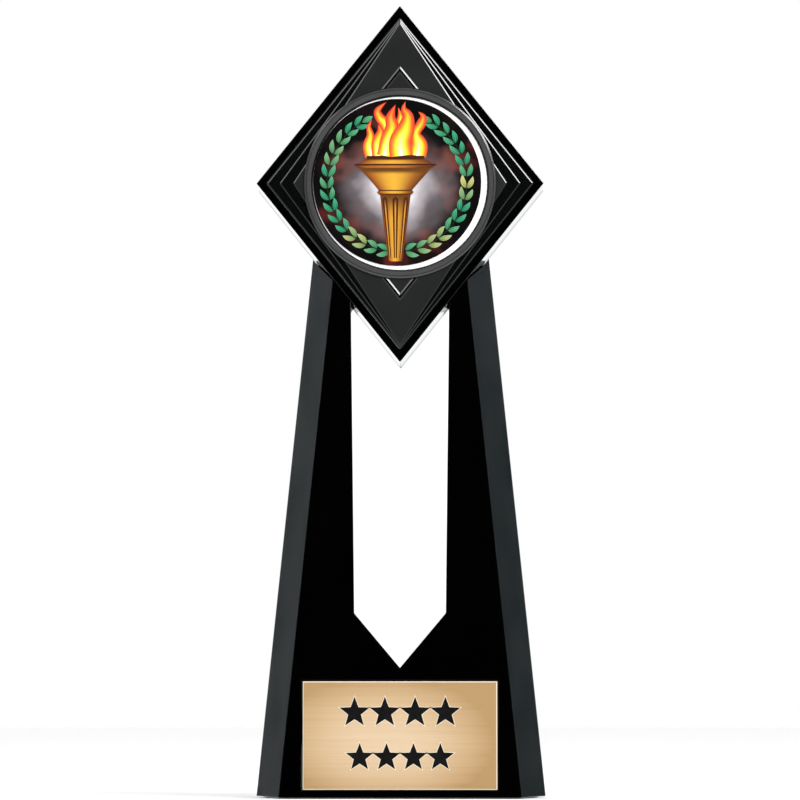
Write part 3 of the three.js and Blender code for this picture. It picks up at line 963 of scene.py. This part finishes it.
def make_laurel():
    """Two branches of paired leaves, from the torch's foot round to either side of the flame."""
    rng = random.Random(7)
    radius = 20.7
    first = math.radians(-97)
    last = math.radians(-240)
    pairs = 15
    leaf_length, leaf_half_width = 3.95, 0.76
    stem_points, stem_half_width = 40, 0.12
    material = leaf_material()
    stem_material = flat_print("print_stem", srgb(16, 48, 30))
    for side, name in ((1, "left"), (-1, "right")):
        leaves, warmth = [], []
        for i in range(pairs):
            t = i / (pairs - 0.35)
            turn = first + (last - first) * t
            foot_u, foot_v = radius * math.cos(turn), radius * math.sin(turn)
            heading = turn - math.pi / 2
            age = leaf_warmth(math.degrees(turn), side)
            for lean in (1, -1):
                angle = heading + lean * math.radians(32 + rng.uniform(-4, 4))
                length = leaf_length + rng.uniform(-0.25, 0.25)
                u = foot_u + 0.2 * math.cos(heading + lean * 1.5)
                v = foot_v + 0.2 * math.sin(heading + lean * 1.5)
                bend = -lean * 0.35
                if side == -1:
                    u, angle, bend = -u, math.pi - angle, -bend
                layer = 2 + i % 2
                leaves.append(leaf_ribbon(u, v, angle, length, leaf_half_width, layer, bend))
                warmth.append(min(max(age + rng.uniform(-0.15, 0.1), 0), 1))
        angle = last - math.pi / 2
        u, v = radius * math.cos(last), radius * math.sin(last)
        if side == -1:
            u, angle = -u, math.pi - angle
        leaves.append(leaf_ribbon(u, v, angle, 3.6, 0.85, 4, 0))
        warmth.append(0.1)
        art_piece(f"laurel_{name}", leaves, material, warmth=warmth)
        stem = []
        for i in range(stem_points):
            turn = first + (last - first) * i / (stem_points - 1)
            stem.append((side * radius * math.cos(turn), radius * math.sin(turn)))
        stalk = ribbon(stem, [stem_half_width] * stem_points, 1, 2)
        art_piece(f"laurel_stem_{name}", [stalk], stem_material)


def leaf_warmth(degrees, side):
    """How yellowed the leaves are at a place round the wreath; 180 is level with the centre."""
    height = math.sin(math.radians(degrees))
    if side == -1:
        middle = math.exp(-(((height + 0.12) / 0.16) ** 2))
    else:
        middle = 0.25 * math.exp(-(((height - 0.35) / 0.25) ** 2))
    low = 0.7 * math.exp(-(((height + 0.86) / 0.1) ** 2))
    return min(middle + low, 1)


TORCH_U = -0.5  # the torch's axis
HANDLE_FOOT = (-23.0, 2.15)  # height and half width
HANDLE_TOP = (-3.5, 4.55)


def torch_part(name, rows, layer, material):
    """A torch part from (v, half width) rows."""
    spine, widths = [], []
    for (v0, w0), (v1, w1) in zip(rows, rows[1:]):
        for share in (0, 0.25, 0.5, 0.75):
            spine.append((TORCH_U, v0 + (v1 - v0) * share))
            widths.append(w0 + (w1 - w0) * share)
    spine.append((TORCH_U, rows[-1][0]))
    widths.append(rows[-1][1])
    art_piece(name, [ribbon(spine, widths, layer, 24)], material)


def make_torch():
    gold = torch_gold("torch_gold", srgb(146, 84, 18), srgb(196, 140, 34))
    bowl = torch_gold("torch_bowl", srgb(150, 88, 20), srgb(200, 146, 38), 0.88)
    bronze = torch_gold("torch_bronze", srgb(104, 44, 14), srgb(164, 86, 36))
    dark = flat_print("torch_shadow", srgb(74, 28, 8))
    rim = [(4.3, 10.9), (5.0, 11.6), (5.5, 11.2), (6.2, 9.9), (6.9, 8.8)]
    torch_part("torch_lip", [(6.75, 8.4), (7.9, 8.6)], 6, dark)
    torch_part("torch_rim", rim, 7, gold)
    torch_part("torch_rim_line", [(4.95, 11.7), (5.25, 12.3), (5.5, 11.7)], 8, dark)
    torch_part("torch_rim_bead", [(4.35, 10.6), (4.75, 11.1)], 9, bronze)
    torch_part("torch_bowl", [(-2.4, 4.9), (1.0, 7.8), (4.4, 10.8)], 5, bowl)
    torch_part("torch_collar_shadow", [(-3.65, 5.0), (-2.3, 5.0)], 8, dark)
    torch_part("torch_collar", [(-3.4, 4.9), (-3.15, 5.35), (-2.8, 5.35), (-2.55, 4.9)], 9, gold)
    torch_part("torch_handle", [(-23.6, 1.9), HANDLE_FOOT, HANDLE_TOP], 5, gold)
    make_flutes(dark, gold)


def make_flutes(dark, gold):
    """Three dark, round-topped flutes down the handle, each with a bright bar inside."""
    foot = -22.6
    rows = 24
    taper = (HANDLE_TOP[1] - HANDLE_FOOT[1]) / (HANDLE_TOP[0] - HANDLE_FOOT[0])

    def flute(share, top, width, layer):
        spine, widths = [], []
        for i in range(rows + 1):
            v = foot + (top - foot) * i / rows
            handle = HANDLE_FOOT[1] + taper * (v - HANDLE_FOOT[0])
            half = handle * width * (1 if share == 0 else 0.8)
            above = max(0, (v - (top - half)) / half)
            spine.append((TORCH_U + share * handle, v))
            widths.append(half * min(1.0, math.sqrt(max(1 - above**2, 0.003))))
        return ribbon(spine, widths, layer, 6)

    for number, share in enumerate((-0.72, 0.0, 0.72), 1):
        art_piece(f"torch_flute_{number}", [flute(share, -4.3, 0.2, 6)], dark)
        art_piece(f"torch_flute_bar_{number}", [flute(share, -4.9, 0.085, 7)], gold)


# each tongue of flame: its layer, then (u, v, half width) from its foot to its tip
FLAMES = [
    (5, [(-7.4, 7.9, 2.2), (-8.3, 10.9, 1.9), (-7.9, 14.0, 1.15),
         (-8.4, 16.6, 0.65), (-7.5, 18.7, 0)]),
    (6, [(-5.4, 7.9, 2.0), (-5.9, 11.6, 1.7), (-4.9, 15.0, 1.2), (-5.7, 17.3, 0)]),
    (5, [(-2.6, 13.5, 1.2), (-3.2, 17.0, 1.7), (-5.2, 19.4, 1.35),
         (-5.7, 21.6, 0.95), (-3.2, 24.0, 0)]),
    (7, [(-3.7, 7.9, 2.3), (-2.9, 12.3, 2.1), (-1.5, 16.4, 2.0),
         (-1.9, 19.6, 1.4), (-0.5, 23.2, 0)]),
    (5, [(0.6, 15.0, 1.2), (1.1, 18.4, 1.3), (0.9, 20.4, 0.7), (0.3, 22.4, 0)]),
    (5, [(6.0, 7.9, 2.6), (6.5, 11.2, 2.5), (5.6, 14.6, 1.4),
         (7.2, 17.6, 1.4), (7.7, 19.6, 0.9), (6.3, 21.1, 0)]),
    (8, [(1.3, 7.9, 3.4), (1.0, 12.0, 3.3), (2.6, 16.0, 2.6),
         (3.2, 19.6, 1.7), (2.0, 22.0, 0.8), (2.5, 24.2, 0)]),
]


def make_flames():
    ribbons = []
    for layer, knots in FLAMES:
        path = smooth_path(knots, 8)
        spine = [(point.x, point.y) for point in path]
        widths = [max(point.z, TIP_WIDTH) for point in path]
        ribbons.append(ribbon(spine, widths, layer, 14))
    art_piece("torch_flames", ribbons, flame_material())


# ---- plate ----
# for each row of stars: height above the plate's middle, radius and pitch
STAR_ROWS = [(6.75, 4.7, 8.9), (-6.4, 4.3, 7.9)]
STARS_IN_ROW = 4
STAR_WAIST = 0.42
STAR_RIM = 0.42  # how far the pale line reaches past a star's points


def star_outline(centre_x, centre_z, radius):
    points = []
    for i in range(10):
        reach = radius if i % 2 == 0 else radius * STAR_WAIST
        angle = math.pi / 2 + math.pi * i / 5
        points.append((centre_x + reach * math.cos(angle), centre_z + reach * math.sin(angle)))
    return points


def make_plate():
    front = depth_of(PLATE_LOW.y)
    back = depth_of(PLATE_HIGH.y)
    face = front + 0.02  # the engraving stands proud of it by this much
    chamfer = 0.28

    def outline(inset, depth):
        x, z = PLATE_HALF_WIDTH - inset, PLATE_HALF_HEIGHT - inset
        corners = [(-x, -z), (x, -z), (x, z), (-x, z)]
        return [place(u, depth, PLATE_CENTRE + v) for u, v in corners]

    loops = [outline(0, back), outline(0, face + chamfer), outline(chamfer, face)]
    plate = loft("brass_plate", loops, BRASS)
    plate.data.materials.append(EDGE)
    # the chamfer faces take the pale edge colour, a painted highlight
    for side in plate.data.polygons:
        if -0.95 < side.normal.y < -0.3:
            side.material_index = 1
    stands_for(polish(plate, 20), "engraved_plate")
    layers = (("plate_star_rims", STAR_RIM, 0.01, EDGE), ("plate_stars", 0, 0, ENAMEL))
    for name, grown, behind, material in layers:
        engraving = make_stars(name, grown, front + behind, material)
        stands_for(engraving, "engraved_plate")


def make_stars(name, grown, front, material):
    """The rows of stars; grown is added to their radius."""
    stars = bmesh.new()
    for height, radius, pitch in STAR_ROWS:
        for i in range(STARS_IN_ROW):
            centre = (i - (STARS_IN_ROW - 1) / 2) * pitch
            outline = star_outline(centre, PLATE_CENTRE + height, radius + grown)
            tops = [place(x, front, z) for x, z in outline]
            feet = [place(x, front + 0.1, z) for x, z in outline]
            add_prism(stars, tops, feet)
    bmesh.ops.recalc_face_normals(stars, faces=stars.faces)
    return new_object(name, stars, material)


# ---- screws ----
def make_screw(node):
    """A pan-head screw with a cross recess, driven from the back."""
    low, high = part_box(node)
    x = (low.x + high.x) / 2 / MM
    z = (low.z + high.z) / 2 / MM
    head = (high.x - low.x) / 2 / MM
    tip, top = depth_of(low.y), depth_of(high.y)
    thick = 1.1 if node.startswith("cover") else 1.5
    seat = top - thick
    shank = 1.2
    profile = [
        (0, tip),
        (shank * 0.4, tip + 0.3),
        (shank, tip + 1.6),
        (shank, seat),
        (head - 0.08, seat),
        (head, seat + 0.1),
        (head, top - thick * 0.55),
        (head * 0.95, top - thick * 0.3),
        (head * 0.84, top - thick * 0.1),
        (head * 0.68, top),
        (0, top),
    ]
    screw = turned(f"{node}_fine", profile, x, z, 40)
    recess = bmesh.new()
    arm, half, foot = head * 0.52, head * 0.13, top - thick * 0.62
    outline = [
        (half, half), (half, arm), (-half, arm), (-half, half), (-arm, half), (-arm, -half),
        (-half, -half), (-half, -arm), (half, -arm), (half, -half), (arm, -half), (arm, half),
    ]
    upper = [place(x + u, top + 0.5, z + v) for u, v in outline]
    lower = [place(x + 0.7 * u, foot, z + 0.7 * v) for u, v in outline]
    add_prism(recess, upper, lower)
    bmesh.ops.recalc_face_normals(recess, faces=recess.faces)
    boolean(screw, new_object("recess", recess), "DIFFERENCE")
    screw.data.materials.clear()
    screw.data.materials.append(STEEL)
    stands_for(polish(screw, 35), node)


# ---- stage ----
def make_stage():
    bm = bmesh.new()
    bmesh.ops.create_circle(bm, cap_ends=True, radius=6, segments=96)
    floor = new_object("floor", bm)
    paper = clouded("floor", (0.96, 0.96, 0.96), (0.98, 0.98, 0.98), (3, 2), 0.6)
    floor.data.materials.append(paper)
    floor.visible_glossy = False


# colours of the walls that reflections see, from in front of the trophy to straight behind it
WALLS = [
    (0.0, (0.0, 0.0, 0.0)),
    (0.2, (0.0, 0.0, 0.0)),
    (0.42, (0.02, 0.026, 0.028)),
    (0.88, (0.01, 0.018, 0.02)),
    (0.94, (0.02, 0.03, 0.034)),
    (0.965, (1.3, 1.32, 1.34)),
    (1.0, (1.4, 1.42, 1.44)),
]
BACKDROP_LEAN = -0.007  # the backdrop reaches a little further round on the left
FLOOR_EDGE = (-0.14, -0.42)  # rise of the rays for which the walls give way to the floor
FLOOR_TONE = (0.5, 0.52, 0.54)


def make_world():
    """Pale surroundings for the eye, and darker studio walls for reflections, which leave
    a bright backdrop behind the trophy and a pale floor below it."""
    world = bpy.data.worlds.new("studio")
    bpy.context.scene.world = world
    world.use_nodes = True
    world.node_tree.nodes.clear()
    studio = Nodes(world.node_tree, "Generated")
    x, y, z = studio.axes()
    behind = studio.math("MULTIPLY_ADD", y, 0.5, 0.5)
    behind = studio.math("MULTIPLY_ADD", x, BACKDROP_LEAN, behind)
    below = studio.spread(z, *FLOOR_EDGE, form="LINEAR")

    def background(strength, color=(1, 1, 1)):
        made = studio.node("ShaderNodeBackground")
        studio.feed(made.inputs["Strength"], strength)
        studio.feed(made.inputs["Color"], color)
        return made.outputs[0]

    def either(factor, no, yes):
        made = studio.node("ShaderNodeMixShader")
        for socket, value in zip(made.inputs, (factor, no, yes)):
            studio.feed(socket, value)
        return made.outputs[0]

    mirrored = background(1.0, studio.blend(below, studio.ramp(behind, WALLS), FLOOR_TONE))
    ray = studio.node("ShaderNodeLightPath").outputs
    lit = either(ray["Is Glossy Ray"], background(1.1), mirrored)
    shown = either(ray["Is Camera Ray"], lit, background(1.0))
    studio.feed(studio.node("ShaderNodeOutputWorld").inputs["Surface"], shown)


def area_light(name, position, size, power):
    data = bpy.data.lights.new(name, "AREA")
    data.shape = "DISK"
    data.size = size
    data.energy = power
    light = bpy.data.objects.new(name, data)
    light.location = position
    target = Vector((0, 0, 0.12))
    light.rotation_euler = (target - Vector(position)).to_track_quat("-Z", "Y").to_euler()
    bpy.context.scene.collection.objects.link(light)


def make_camera():
    """In front of the trophy, a little to its right and low, looking at its middle."""
    low, high = cad_bounds
    middle = (low[2] + high[2]) / 2
    distance, aside, height = 1.2, 0.015, 0.025
    view_width = 0.2358  # at the tower's front face
    drop = 0.00036  # of the aim below the trophy's middle
    data = bpy.data.cameras.new("camera")
    data.sensor_width = 36
    data.lens = data.sensor_width * distance / view_width
    data.dof.use_dof = False
    camera = bpy.data.objects.new("camera", data)
    camera.location = (aside, FRONT_Y - distance, height)
    aim = Vector((0, FRONT_Y, middle - drop))
    camera.rotation_euler = (aim - camera.location).to_track_quat("-Z", "Y").to_euler()
    bpy.context.scene.collection.objects.link(camera)
    bpy.context.scene.camera = camera


# ---- build ----
make_camera()
make_world()
make_stage()
area_light("key", (0.98, -0.98, 1.12), 0.8, 17)
area_light("fill", (-0.98, -0.98, 1.12), 0.6, 1.8)
bpy.context.scene.view_settings.view_transform = "Standard"

make_tower()
make_covers()
make_pad()
make_head()
make_holder()
make_disc()
make_print()
make_plate()
for number in range(1, 7):
    make_screw(f"cover_screw_{number}")
for number in range(1, 5):
    make_screw(f"head_screw_{number}")
paint_node("ballast_block", IRON)
for node in ("ballast_screw_1", "ballast_screw_2"):
    paint_node(node, STEEL)
for node in ("insert_adhesive", "plate_adhesive"):
    paint_node(node, TAPE)
